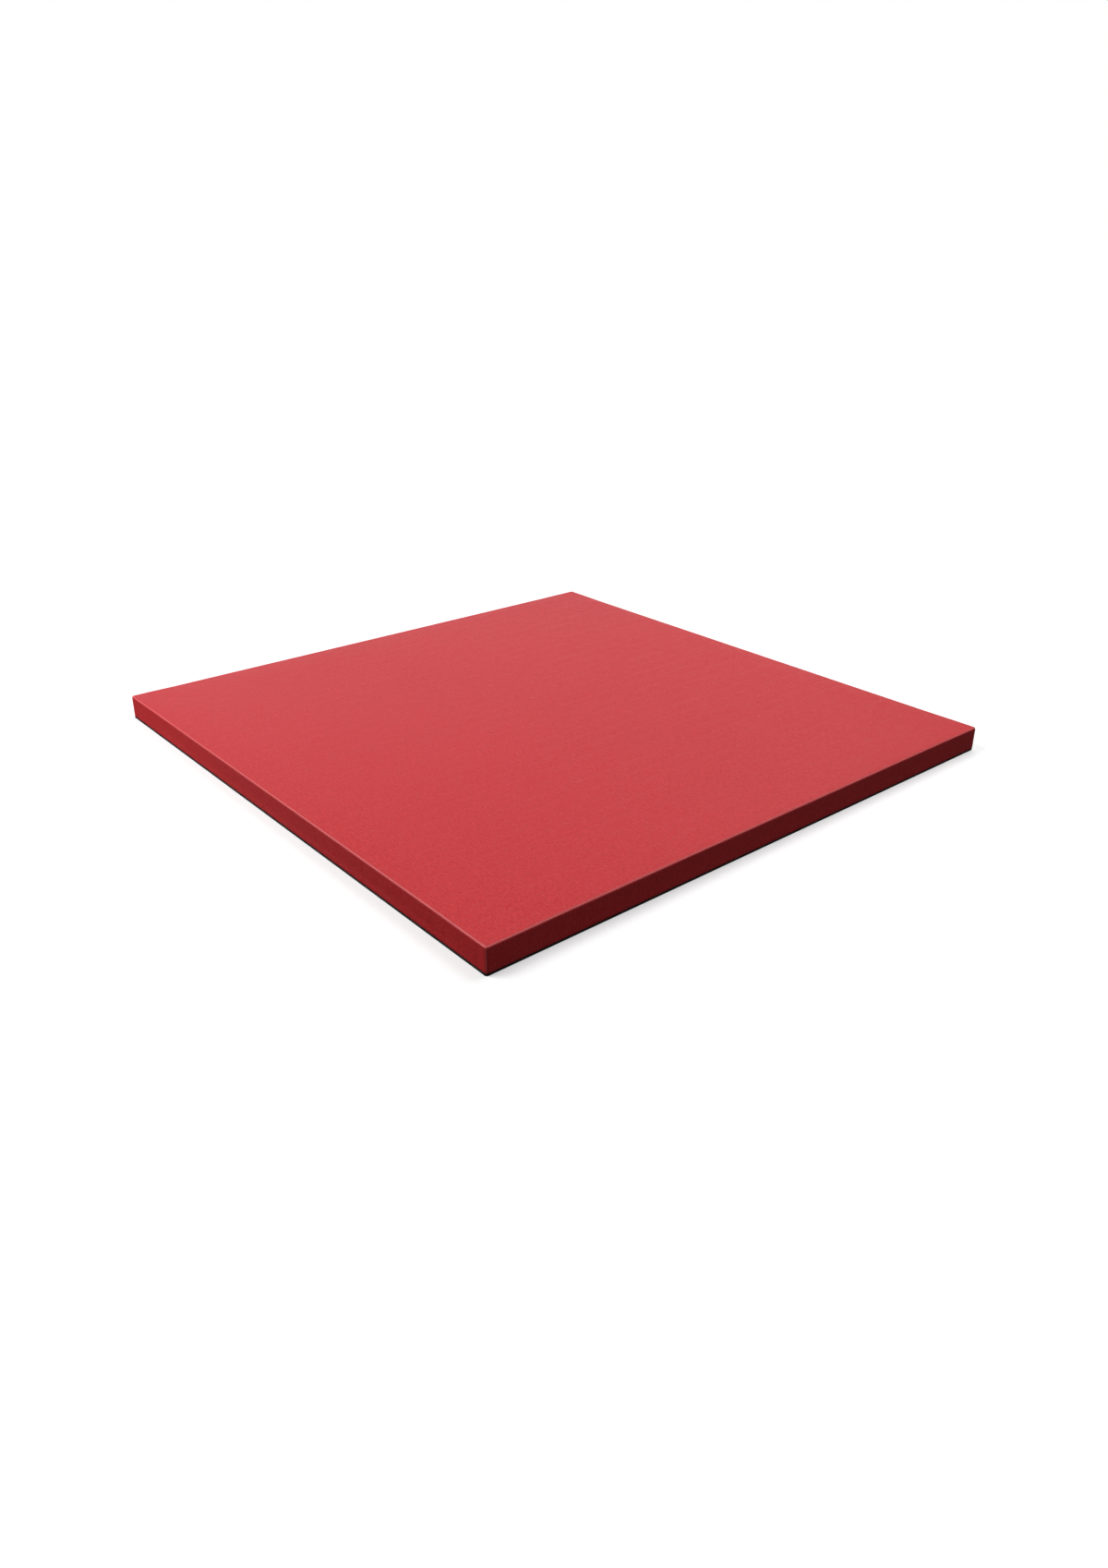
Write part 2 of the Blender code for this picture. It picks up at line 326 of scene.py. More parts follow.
def place_sheet(x, y, path):
    """Points of the cover from plan points of a sharp box and the distance along the sheet past its edge."""
    inset, z = fold_profile(path)
    qx, qy = np.abs(x) - (HALF - CORNER), np.abs(y) - (HALF - CORNER)
    in_corner = (qx > 0) & (qy > 0)
    length = np.maximum(np.hypot(qx, qy), 1e-9)
    reach = np.maximum(qx, qy)
    # The way out, and how far out the point is from the inner square that the corners are rounded about
    way_x = np.where(in_corner, qx / length, (qx >= qy).astype(float))
    way_y = np.where(in_corner, qy / length, (qx < qy).astype(float))
    on_top = path < 0
    shift = np.where(on_top, -path - inset, -inset)
    out = np.where(in_corner, reach - length, 0.0) + np.where(on_top | (path < DROP - HEM_FOLD), shift, 0.0)
    ax, ay = np.abs(x) + way_x * out, np.abs(y) + way_y * out
    drawn_in = np.where(path >= DROP - HEM_FOLD, 1 - inset / HALF, 1.0)
    return np.stack([np.sign(x) * ax * drawn_in, np.sign(y) * ay * drawn_in, z], -1)


class Sheet:
    """The cover's cut: a top panel and four walls, joined at the folds and the four upright corners."""

    def __init__(self, xs, ys, side_paths, end_paths):
        self.points, self.flat, self.faces, self.blocks = [], [], [], []
        self.count = 0
        self.xs, self.ys = xs, ys
        gx, gy = np.meshgrid(xs, ys, indexing="ij")
        edge = -np.minimum(HALF - np.abs(gx), HALF - np.abs(gy))
        self.top = self.add(gx, gy, np.minimum(edge, -1e-9), gx, gy)
        self.add_faces(self.top)
        self.blocks.append((self.top, xs, ys))
        self.ends = {side: self.add_end(side, end_paths) for side in (-1, 1)}
        for side in (-1, 1):
            self.add_side(side, side_paths, end_paths)

    def add(self, x, y, path, s, t):
        """Adds a block of points and returns their numbers in the same layout."""
        points = place_sheet(x, y, path)
        numbers = np.arange(points[..., 0].size).reshape(points.shape[:-1]) + self.count
        self.count += numbers.size
        self.points.append(points.reshape(-1, 3))
        self.flat.append(np.stack([s, t, np.broadcast_to(path, s.shape)], -1).reshape(-1, 3))
        return numbers

    def add_faces(self, grid, flip=False, hole=None):
        quads = np.stack([grid[:-1, :-1], grid[1:, :-1], grid[1:, 1:], grid[:-1, 1:]], -1)
        if hole is not None:
            quads = quads[~hole]
        quads = quads.reshape(-1, 4)
        self.faces += (quads[:, ::-1] if flip else quads).tolist()

    def add_end(self, side, paths):
        """The front (-1) or back (1) wall, whose straws run level."""
        below = paths[1:]
        gx, gp = np.meshgrid(self.xs, below, indexing="ij")
        y = np.full_like(gx, side * HALF)
        wall = self.add(gx, y, gp, gx, side * (HALF + gp))
        edge = self.top[:, 0 if side < 0 else -1]
        grid = np.concatenate([edge[:, None], wall], 1)
        hole = None
        if side > 0:
            mid_x = (self.xs[1:] + self.xs[:-1]) / 2
            mid_z = TOP - (paths[1:] + paths[:-1]) / 2
            hole = (np.abs(mid_x)[:, None] < WINDOW_X) & (np.abs(mid_z - ZIP_Z)[None] < WINDOW_Z)
        self.add_faces(grid, flip=side < 0, hole=hole)
        self.blocks.append((grid, self.xs, paths))
        return grid

    def add_side(self, side, paths, end_paths):
        """The left (-1) or right (1) wall, whose straws run down it, joined to both end walls."""
        inner = self.ys[1:-1]
        gp, gy = np.meshgrid(paths[1:], inner, indexing="ij")
        x = np.full_like(gy, side * HALF)
        wall = self.add(x, gy, gp, side * (HALF + gp), gy)
        edge = self.top[0 if side < 0 else -1, 1:-1]
        grid = np.concatenate([edge[None], wall], 0)
        self.add_faces(grid, flip=side < 0)
        self.blocks.append((grid, paths, inner))
        for end, column in ((-1, 0), (1, -1)):
            corner = self.ends[end][0 if side < 0 else -1]
            self.stitch(corner, end_paths, grid[:, column], paths, flip=side * end > 0)

    def stitch(self, a, along_a, b, along_b, flip):
        """Joins two lines of points of unlike counts with triangles."""
        i = j = 0
        while i < len(a) - 1 or j < len(b) - 1:
            next_a = along_a[i + 1] if i < len(a) - 1 else math.inf
            next_b = along_b[j + 1] if j < len(b) - 1 else math.inf
            if next_a <= next_b:
                face = [a[i], a[i + 1], b[j]]
                i += 1
            else:
                face = [a[i], b[j + 1], b[j]]
                j += 1
            self.faces.append([int(n) for n in (face[::-1] if flip else face)])

    def mesh(self, name, moved=None):
        mesh = bpy.data.meshes.new(name)
        points = np.concatenate(self.points)
        if moved is not None:
            points = points + moved
        mesh.from_pydata(points.tolist(), [], self.faces)
        flat = np.concatenate(self.flat).astype(np.float32)
        attribute = mesh.attributes.new("flat", "FLOAT_VECTOR", "POINT")
        attribute.data.foreach_set("vector", flat.ravel())
        mesh.shade_smooth()
        return mesh


def stations(*runs):
    """Sorted distances from several runs, with near repeats left out."""
    values = np.unique(np.round(np.concatenate([np.atleast_1d(r) for r in runs]), 6))
    keep = np.concatenate([[True], np.diff(values) > 1e-5])
    return values[keep]


def cover_sheet():
    """The cover at full detail: four points across each straw, and along it more where columns meet."""
    most = int(HALF / COLUMN)
    boundaries = np.arange(-most, most + 1) * COLUMN
    steps = np.array([-2.4, -0.8, 0.8, 2.4, 8.7, 15.0, 21.3]) * MM
    across = (boundaries[:, None] + steps).ravel()
    across = across[np.abs(across) < HALF - CORNER - 2 * MM]
    fold = np.array([0.0, 0.2, 0.4, 0.6, 0.8, 1.0, 1.3, 1.625]) * FOLD
    xs = stations(across, fold - HALF, HALF - fold)
    rows = ROWS_PER_STRAW / STRAW
    ys = np.linspace(-HALF, HALF, round(2 * HALF * rows) + 1)
    window = [TOP - ZIP_Z - WINDOW_Z, TOP - ZIP_Z + WINDOW_Z]
    ends = [0.0, *window, DROP - HEM_FOLD]
    hem = DROP + np.array([-HEM_FOLD, -HEM_FOLD / 2, 0.0, HEM_FOLD / 2, HEM_FOLD, 5 * MM, HEM])
    runs = [np.linspace(a, b, round((b - a) * rows) + 1) for a, b in zip(ends[:-1], ends[1:])]
    end_paths = stations(*runs, hem)
    side_paths = stations(fold[:7], np.array([7.5, 10.0, 12.5, 18.0, 24.0, 30.0]) * MM, hem)
    return Sheet(xs, ys, side_paths, end_paths)


def net_sheet():
    """The same cover as a coarse net, for the cloth simulation."""
    across = np.linspace(-HALF, HALF, round(2 * HALF / NET) + 1)
    paths = np.concatenate([np.linspace(0.0, DROP - 2 * MM, 5), [DROP + HEM]])
    return Sheet(across, across, paths, paths)


def inflate(net):
    """Blows the net up a little, as the foam inside does, and gives how far each of its points moves.

    The hem and the zip's wall are held. The foam and the base hold the rest to a small give."""
    points, flat = np.concatenate(net.points), np.concatenate(net.flat)
    piece = add_piece("cover_net", net.mesh("cover_net"))
    held = (flat[:, 2] > DROP - 3 * MM) | (points[:, 1] > HALF - MM)
    pins = piece.vertex_groups.new(name="held")
    pins.add(np.nonzero(held)[0].tolist(), 1.0, "REPLACE")
    cloth = piece.modifiers.new("Cloth", "CLOTH")
    cloth.settings.quality = 6
    cloth.settings.mass = 0.9
    cloth.settings.tension_stiffness = 40.0
    cloth.settings.bending_stiffness = 8.0
    cloth.settings.vertex_group_mass = "held"
    cloth.settings.use_pressure = True
    cloth.settings.uniform_pressure_force = 4.0
    cloth.settings.effector_weights.gravity = 0.0
    frames_to_settle = 20
    for number in range(1, frames_to_settle + 1):
        bpy.context.scene.frame_set(number)
    evaluated = piece.evaluated_get(bpy.context.evaluated_depsgraph_get())
    blown = np.empty(len(points) * 3)
    evaluated.data.vertices.foreach_get("co", blown)
    bpy.data.objects.remove(piece)
    bpy.context.scene.frame_set(1)
    moved = blown.reshape(-1, 3) - points
    far = np.linalg.norm(moved, axis=1, keepdims=True)
    return moved * GIVE / (GIVE + far)


def weights(fine, coarse):
    """A matrix that carries values at the coarse stations smoothly to the fine ones."""
    place = np.interp(fine, coarse, np.arange(len(coarse)))
    start = np.minimum(place.astype(int), len(coarse) - 2)
    u = place - start
    parts = (
        (-1, (-u + 2 * u**2 - u**3) / 2),
        (0, (2 - 5 * u**2 + 3 * u**3) / 2),
        (1, (u + 4 * u**2 - 3 * u**3) / 2),
        (2, (u**3 - u**2) / 2),
    )
    matrix = np.zeros((len(fine), len(coarse)))
    for step, part in parts:
        column = np.clip(start + step, 0, len(coarse) - 1)
        np.add.at(matrix, (np.arange(len(fine)), column), part)
    return matrix


def spread(net, moved, sheet):
    """Carries the net's moves over to the full sheet. They fade out where the upright corners stiffen it."""
    flat = np.concatenate(sheet.flat)
    result = np.zeros((sheet.count, 3))
    for (net_grid, net_u, net_v), (grid, u, v) in zip(net.blocks, sheet.blocks):
        across, down = weights(u, net_u), weights(v, net_v)
        result[grid] = np.einsum("ai,ijk,bj->abk", across, moved[net_grid], down)
    from_corner = HALF - np.minimum(np.abs(flat[:, 0]), np.abs(flat[:, 1]))
    fade = np.clip((from_corner - NET) / (3 * NET), 0, 1)
    return result * (fade * fade * (3 - 2 * fade))[:, None]


def add_window_lip(mesh):
    """Turns the edges of the zip's window in, so that the vinyl shows its thickness."""
    bm = bmesh.new()
    bm.from_mesh(mesh)
    rim = [
        e
        for e in bm.edges
        if e.is_boundary and all(v.co.y > HALF - MM and v.co.z > FOOT + 2 * MM for v in e.verts)
    ]
    # A small rounding first, then straight back
    for inward, back in ((0.15 * MM, 0.3 * MM), (0.0, 0.9 * MM)):
        made = bmesh.ops.extrude_edge_only(bm, edges=rim)["geom"]
        verts = [g for g in made if isinstance(g, bmesh.types.BMVert)]
        for v in verts:
            v.co.y -= back
            if abs(abs(v.co.x) - WINDOW_X) < MM:
                v.co.x -= math.copysign(inward, v.co.x)
            v.co.z -= math.copysign(inward, v.co.z - ZIP_Z)
        rim = [g for g in made if isinstance(g, bmesh.types.BMEdge)]
    bm.to_mesh(mesh)
    bm.free()


# ---------------------------------------------------------------- the straw emboss


def straw_wave(graph, s, t):
    """The straws at a place on the flat sheet: how many straws it is along, and how near a column's boundary.

    Each column of straws drifts on its own, and where two columns meet, the straws of one lean over to meet
    those of the other. Within a column they sway a little, and they aren't all equally thick."""
    wander = graph.noise(graph.xyz(s * 9.0, t * 60.0, 3.0)) * (1.6 * MM)
    columns = (s + wander) / COLUMN
    boundary = graph.maths("ROUND", columns)
    past = (columns - boundary) * COLUMN
    left = graph.noise(graph.xyz((boundary - 1.0) * 5.37, t * 36.0, 0.5), detail=1.0)
    right = graph.noise(graph.xyz(boundary * 5.37, t * 36.0, 0.5), detail=1.0)
    side = graph.ease(past, -2.0 * MM, 2.0 * MM)
    drift = left + (right - left) * side
    sway = graph.noise(graph.xyz(s * 46.0, t * 95.0, 7.0)) * 0.26
    thickness = graph.noise(graph.xyz(s * 26.0, t * 240.0, 9.0)) * 0.32
    turns = t / STRAW + drift * 1.6 + sway + thickness
    pinch = 1.0 - graph.ease(graph.maths("ABSOLUTE", past), 0.2 * MM, 2.4 * MM)
    return turns, pinch


def emboss_tree(name):
    """Geometry nodes that press the straws into a sheet, along its normals."""
    graph, sheet, depth, vinyl = start_tree(
        name, ("Sheet", "Geometry"), ("Depth", "Float"), ("Vinyl", "Material")
    )
    flat = graph.node(
        "GeometryNodeInputNamedAttribute", {"data_type": "FLOAT_VECTOR"}, {"Name": "flat"}
    )
    s, t, path = graph.split(flat)
    turns, pinch = straw_wave(graph, s, t)
    height = graph.maths("COSINE", turns * (2 * math.pi)) * 0.5 + 0.5
    # The straws fade out towards the upright corner joins, and are ironed a little flatter along the folds
    corner = HALF - graph.maths("MINIMUM", graph.maths("ABSOLUTE", s), graph.maths("ABSOLUTE", t))
    keep = graph.ease(corner, 0.8 * MM, 3.0 * MM)
    ironed = 0.6 + 0.4 * graph.ease(graph.maths("ABSOLUTE", path), 0.5 * MM, FOLD)
    uneven = 0.82 + 0.42 * graph.noise(graph.xyz(s * 70.0, turns * 0.9, 2.0))
    sunk = ((1.0 - height) * (1.0 - 0.45 * pinch) * uneven + pinch * 0.4) * keep * ironed
    # The weld that joins two walls stands up as a low bead
    bead = (1.0 - graph.ease(corner, 0.3 * MM, 1.3 * MM)) * graph.ease(path, 2.5 * MM, 4.5 * MM)
    bead_height = 0.25 * MM
    normal = graph.node("GeometryNodeInputNormal")
    offset = graph.node(
        "ShaderNodeVectorMath",
        {"operation": "SCALE"},
        {0: normal, "Scale": bead * bead_height - depth * sunk},
    )
    stored = graph.node(
        "GeometryNodeStoreNamedAttribute",
        {"data_type": "FLOAT", "domain": "POINT"},
        {"Geometry": sheet, "Name": "groove", "Value": sunk},
    )
    pressed = graph.node("GeometryNodeSetPosition", None, {"Geometry": stored, "Offset": offset})
    return end_tree(graph, pressed, vinyl)


def row_tree(name):
    """Geometry nodes that repeat a piece in a straight row."""
    graph, piece, count, start, step, finish = start_tree(
        name,
        ("Piece", "Geometry"),
        ("Count", "Int"),
        ("Start", "Vector"),
        ("Step", "Vector"),
        ("Finish", "Material"),
    )
    line = graph.node(
        "GeometryNodeMeshLine", None, {"Count": count, "Start Location": start, "Offset": step}
    )
    row = graph.node("GeometryNodeInstanceOnPoints", None, {"Points": line, "Instance": piece})
    return end_tree(graph, row, finish)


def start_tree(name, *sockets):
    """A geometry node tree with these inputs, as (name, kind), and their values."""
    tree = bpy.data.node_groups.new(name, "GeometryNodeTree")
    for label, kind in sockets:
        tree.interface.new_socket(label, in_out="INPUT", socket_type=f"NodeSocket{kind}")
    tree.interface.new_socket("Result", in_out="OUTPUT", socket_type="NodeSocketGeometry")
    start = tree.nodes.new("NodeGroupInput")
    graph = Graph(tree)
    return graph, *(Value(graph, start.outputs[i]) for i in range(len(sockets)))


def end_tree(graph, geometry, material):
    """Makes the result real, gives it its material and closes the tree."""
    real = graph.node("GeometryNodeRealizeInstances", None, {0: geometry})
    done = graph.node("GeometryNodeSetMaterial", None, {"Geometry": real, "Material": material})
    end = graph.tree.nodes.new("NodeGroupOutput")
    graph.tree.links.new(done.socket, end.inputs[0])
    return graph.tree


def apply_tree(piece, tree, **values):
    """Runs a geometry node tree on a piece with these inputs, and keeps the result as a plain mesh."""
    modifier = piece.modifiers.new(tree.name, "NODES")
    modifier.node_group = tree
    for item in tree.interface.items_tree:
        key = item.name.lower()
        if item.in_out == "INPUT" and key in values:
            modifier[item.identifier] = values[key]
    bpy.context.view_layer.update()
    graph = bpy.context.evaluated_depsgraph_get()
    mesh = bpy.data.meshes.new_from_object(piece.evaluated_get(graph), depsgraph=graph)
    piece.modifiers.clear()
    old = piece.data
    piece.data = mesh
    bpy.data.meshes.remove(old)
    mesh.name = piece.name
    return piece


def add_piece(name, mesh):
    """A new piece with this mesh."""
    piece = bpy.data.objects.new(name, mesh)
    bpy.context.scene.collection.objects.link(piece)
    return piece


def piece_from(name, bm, material=None):
    """A new smooth-shaded piece from a bmesh."""
    bmesh.ops.recalc_face_normals(bm, faces=bm.faces)
    mesh = bpy.data.meshes.new(name)
    bm.to_mesh(mesh)
    bm.free()
    mesh.shade_smooth()
    if material:
        mesh.materials.append(material)
    return add_piece(name, mesh)


def repeat(piece, tree, count, start, step, material):
    """Repeats a piece in a row; sizes in metres."""
    return apply_tree(piece, tree, count=count, start=start, step=step, finish=material)


# ---------------------------------------------------------------- finishes


def red_vinyl():
    """Matt red vinyl: a deep line between straws with painted shade in it, a fine twist along each, a painted
    highlight on the crests, and folds and welds paler from a painted highlight and some wear.
    """
    f = Finish("red_vinyl", roughness=0.46, specular_ior_level=0.32)
    flat = f.node("ShaderNodeAttribute", {"attribute_name": "flat"}, None, 1)
    groove = f.node("ShaderNodeAttribute", {"attribute_name": "groove"}, None, 2)
    s, t, path = f.split(flat)
    turns, pinch = straw_wave(f, s, t)
    round_straw = f.maths("ABSOLUTE", f.maths("COSINE", turns * math.pi))
    line = (1.0 - round_straw) ** 2.0
    crest = round_straw ** 9.0
    patch = f.noise(f.xyz(s, t, 0.0), scale=3.0, detail=2.0)
    mottle = f.noise(f.xyz(s, t, 0.0), scale=300.0, detail=3.0, roughness=0.7)
    streak = f.noise(f.xyz(s * 130.0, t * 430.0, 6.0), detail=2.0)
    broken = f.noise(f.xyz(s * 160.0, turns * 1.3, 4.0), detail=1.0)
    twist = f.maths("SINE", (s / (0.85 * MM) + t / (1.4 * MM)) * (2 * math.pi)) * 0.5 + 0.5
    colour = f.blend(patch * 0.5 + 0.5, srgb(200, 27, 31), srgb(208, 33, 37))
    colour = f.blend(f.ease(mottle + streak, -0.9, 0.9) * 0.8, colour, srgb(168, 14, 20))
    # Painted shade: the lines between the straws, and the most sunk places, are coloured darker, as the shade
    # that falls in the grooves
    colour = f.blend(line * 0.6 + groove * 0.15, colour, srgb(146, 8, 14))
    # Painted highlight: the crests of the straws are coloured paler pink, in broken lines, as the sheen that
    # light puts on them
    painted_crest_highlight = crest * f.ease(broken, -0.5, 0.5) * (0.5 + 0.5 * twist)
    colour = f.blend(painted_crest_highlight * 0.55, colour, srgb(240, 100, 108))
    # Paler pink along the folds and the upright corner welds: mostly a painted highlight where the rounded
    # edges catch the light, partly stretch wear
    fold = 1.0 - f.ease(f.maths("ABSOLUTE", path), 0.4 * MM, 2.4 * MM)
    corner = HALF - f.maths("MINIMUM", f.maths("ABSOLUTE", s), f.maths("ABSOLUTE", t))
    weld = (1.0 - f.ease(corner, 0.3 * MM, 1.3 * MM)) * f.ease(path, 0.0, 3.0 * MM)
    painted_highlight_and_wear = f.maths("MAXIMUM", fold * 0.5, weld * 0.5) * (0.8 + 0.4 * mottle)
    colour = f.blend(painted_highlight_and_wear, colour, srgb(246, 138, 142))
    f.set("Base Color", colour)
    f.set("Roughness", 0.49 + line * 0.1 + mottle * 0.05 - crest * 0.11)
    fibre = f.noise(f.xyz(s * 350.0, t * 5200.0, 1.0), detail=1.0)
    grain = f.noise(f.xyz(s, t, 0.0), scale=2600.0, detail=1.0)
    hatch = twist * f.ease(broken + streak, -0.6, 0.6) * 0.9
    height = hatch + fibre * 0.3 + grain * 0.3 + streak * 1.8 - line * 1.8
    f.relief(height, 0.045 * MM)
    return f.material


def plain_vinyl():
    """The smooth vinyl of the patches over the zip's ends."""
    f = Finish("end_patch_vinyl", roughness=0.42)
    place = f.place()
    mottle = f.noise(place, scale=400.0, detail=2.0)
    grain = f.node(
        "ShaderNodeTexVoronoi", {"feature": "DISTANCE_TO_EDGE"}, {"Vector": place, "Scale": 1500.0}
    )
    f.set("Base Color", f.blend(mottle * 0.5 + 0.5, srgb(182, 24, 30), srgb(202, 38, 44)))
    f.set("Roughness", 0.42 + mottle * 0.06)
    f.relief(f.ease(grain, 0.0, 0.12), 0.03 * MM)
    return f.material


def vinyl_backing():
    """The knitted back of the vinyl, which the corner patches show."""
    f = Finish("vinyl_backing", roughness=0.85)
    x, y, z = f.split(f.place(2 * math.pi / (0.9 * MM)))
    knit = f.maths("SINE", x + y) * f.maths("SINE", z) * 0.5 + 0.5
    fuzz = f.noise(f.place(), scale=900.0, detail=2.0)
    f.set("Base Color", f.blend(knit * 0.6 + fuzz * 0.3, srgb(150, 46, 50), srgb(190, 92, 92)))
    f.set("Roughness", 0.86 + fuzz * 0.06)
    f.relief(knit, 0.12 * MM)
    return f.material


def zip_weave():
    """Black herringbone tape."""
    f = Finish("zip_tape_weave", roughness=0.82, sheen_weight=0.25)
    x, _, z = f.split(f.place())
    leg = f.maths("PINGPONG", z, 1.5 * MM)
    twill = f.maths("SINE", (x + leg) * (2 * math.pi / (0.55 * MM))) * 0.5 + 0.5
    weft = f.maths("SINE", z * (2 * math.pi / (0.4 * MM))) * 0.5 + 0.5
    fuzz = f.noise(f.place(), scale=1200.0, detail=2.0)
    f.set("Base Color", f.blend(twill * 0.7 + fuzz * 0.2, srgb(17, 16, 19), srgb(52, 50, 55)))
    f.set("Roughness", 0.8 + fuzz * 0.08)
    f.relief(twill * 0.7 + weft * 0.3, 0.1 * MM)
    return f.material


def coil_nylon():
    """Dark nylon, a little scuffed."""
    f = Finish("zip_coil_nylon", roughness=0.38)
    tone = f.noise(f.place(), scale=120.0, detail=2.0)
    scuff = f.noise(f.place(), scale=2400.0, detail=1.0)
    f.set("Base Color", f.blend(tone * 0.5 + 0.5, srgb(30, 29, 32), srgb(50, 49, 53)))
    f.set("Roughness", 0.36 + tone * 0.06 + scuff * 0.08)
    f.relief(scuff, 0.01 * MM)
    return f.material


def thread():
    """Dark red sewing thread, twisted."""
    f = Finish("seam_thread", roughness=0.6, sheen_weight=0.3)
    x, y, z = f.split(f.place())
    twist = f.maths("SINE", (x + (z + y) * 1.4) * (2 * math.pi / (0.42 * MM))) * 0.5 + 0.5
    f.set("Base Color", f.blend(twist, srgb(96, 10, 16), srgb(158, 30, 38)))
    f.set("Roughness", 0.52 + twist * 0.12)
    f.relief(twist, 0.06 * MM)
    return f.material


def stop_metal():
    """Tumbled aluminium."""
    f = Finish("zip_stop_metal", roughness=0.34, metallic=1.0)
    dents = f.noise(f.place(), scale=900.0, detail=3.0)
    grain = f.noise(f.place(), scale=4200.0, detail=2.0)
    f.set("Base Color", f.blend(dents * 0.5 + 0.5, srgb(150, 150, 154), srgb(196, 196, 199)))
    f.set("Roughness", 0.32 + grain * 0.12 + dents * 0.06)
    f.relief(dents * 0.7 + grain * 0.3, 0.03 * MM)
    return f.material


def slider_enamel():
    """Black enamel on die-cast zinc, rubbed thin in places."""
    f = Finish("zip_slider_enamel", roughness=0.34)
    peel = f.noise(f.place(), scale=1100.0, detail=2.0)
    rub = f.noise(f.place(), scale=420.0, detail=4.0, roughness=0.7)
    bare = f.ease(rub, 0.42, 0.62)
    enamel = f.blend(peel * 0.5 + 0.5, srgb(34, 34, 37), srgb(52, 52, 56))
    f.set("Base Color", f.blend(bare, enamel, srgb(150, 150, 154)))
    f.set("Metallic", bare * 0.9)
    f.set("Roughness", 0.33 + peel * 0.07 + bare * 0.1)
    f.relief(peel * 0.5 - bare * 0.5, 0.02 * MM)
    return f.material


def black_rubber():
    """Dull black rubber with a fine moulded grain and a trace of dust."""
    f = Finish("black_rubber", roughness=0.8)
    grain = f.noise(f.place(), scale=1600.0, detail=2.0)
    dust = f.noise(f.place(), scale=14.0, detail=5.0, roughness=0.65)
    f.set("Base Color", f.blend(f.ease(dust, 0.0, 1.2), srgb(15, 14, 15), srgb(66, 64, 63)))
    f.set("Roughness", 0.78 + grain * 0.08 + dust * 0.06)
    f.relief(grain * 0.5 + 0.5, 0.05 * MM)
    return f.material


def rebonded_foam():
    """Chips of foam of many colours, pressed and bonded."""
    f = Finish("rebonded_foam", roughness=0.95)
    warp = f.node("ShaderNodeTexNoise", None, {"Vector": f.place(), "Scale": 70.0}, 1)
    place = f.node(
        "ShaderNodeVectorMath", {"operation": "MULTIPLY_ADD"}, {0: warp, 1: (0.012,) * 3, 2: f.place()}
    )
    chips = {"Vector": place, "Scale": 110.0}
    pick = f.split(f.node("ShaderNodeTexVoronoi", None, chips, 1))[0]
    seam = f.node("ShaderNodeTexVoronoi", {"feature": "DISTANCE_TO_EDGE"}, chips)
    stops = [
        (0.0, srgb(84, 104, 128)),
        (0.22, srgb(150, 158, 162)),
        (0.4, srgb(66, 84, 104)),
        (0.55, srgb(190, 186, 170)),
        (0.68, srgb(120, 146, 122)),
        (0.8, srgb(186, 130, 134)),
        (0.9, srgb(48, 50, 56)),
    ]
    chip = f.node("ShaderNodeValToRGB", {"stops": stops, "constant": True}, {0: pick})
    cells = f.noise(f.place(), scale=1500.0, detail=2.0)
    edge = f.ease(seam, 0.0, 0.12)
    f.set("Base Color", f.blend(edge * 0.8 + cells * 0.2, srgb(52, 58, 66), chip))
    f.set("Roughness", 0.94 + cells * 0.05)
    f.relief(edge * 0.6 + cells * 0.4, 0.5 * MM)
    return f.material


# ---------------------------------------------------------------- shapes


def skin(bm, rings):
    """Joins closed rings of points, one after another, and closes both ends."""
    for a, b in zip(rings[:-1], rings[1:]):
        for k in range(len(a)):
            j = (k + 1) % len(a)
            bm.faces.new((a[k], a[j], b[j], b[k]))
    bm.faces.new(rings[0][::-1])
    bm.faces.new(rings[-1])


def tube(bm, points, radii, sides=6):
    """A closed tube along points, with a radius at each."""
    rings = []
    for i, point in enumerate(points):
        way = (points[min(i + 1, len(points) - 1)] - points[max(i - 1, 0)]).normalized()
        across = way.orthogonal().normalized()
        up = way.cross(across)
        turns = [2 * math.pi * k / sides for k in range(sides)]
        rings.append(
            [bm.verts.new(point + (across * math.cos(a) + up * math.sin(a)) * radii[i]) for a in turns]
        )
    skin(bm, rings)


def band(name, line, low_z, high_z, thickness, material):
    """A soft-edged strip that stands on edge along a line of (x, y) points."""
    half = thickness / 2
    turn = [math.pi * k / 6 for k in range(7)]
    section = [(half * math.cos(a), high_z - half + half * math.sin(a)) for a in turn]
    section += [(-half * math.cos(a), low_z + half - half * math.sin(a)) for a in turn]
    bm = bmesh.new()
    rings = []
    for i, (x, y) in enumerate(line):
        (x0, y0), (x1, y1) = line[max(i - 1, 0)], line[min(i + 1, len(line) - 1)]
        length = math.hypot(x1 - x0, y1 - y0)
        out = ((y0 - y1) / length, (x1 - x0) / length)
        rings.append([bm.verts.new((x + out[0] * d, y + out[1] * d, z)) for d, z in section])
    skin(bm, rings)
    return piece_from(name, bm, material)


def rounded_outline(half_x, half_z, radius, steps=6):
    """The (x, z) points of a rectangle with round corners."""
    points = []
    for quarter in range(4):
        sign_x, sign_z = ((1, 1), (-1, 1), (-1, -1), (1, -1))[quarter]
        for k in range(steps + 1):
            a = math.pi / 2 * (quarter + k / steps)
            points.append(
                (
                    sign_x * (half_x - radius) + radius * math.cos(a),
                    sign_z * (half_z - radius) + radius * math.sin(a),
                )
            )
    return points


def plate(name, centre, half_x, half_z, radius, rings, material):
    """A plate that faces +Y, as outlines drawn in by (inset, height) rings from back to front."""
    bm = bmesh.new()
    loops = []
    for inset, height in rings:
        outline = rounded_outline(half_x - inset, half_z - inset, max(radius - inset, 0.2 * MM))
        loops.append(
            [bm.verts.new((centre.x + x, centre.y + height, centre.z + z)) for x, z in outline]
        )
    skin(bm, loops)
    return piece_from(name, bm, material)


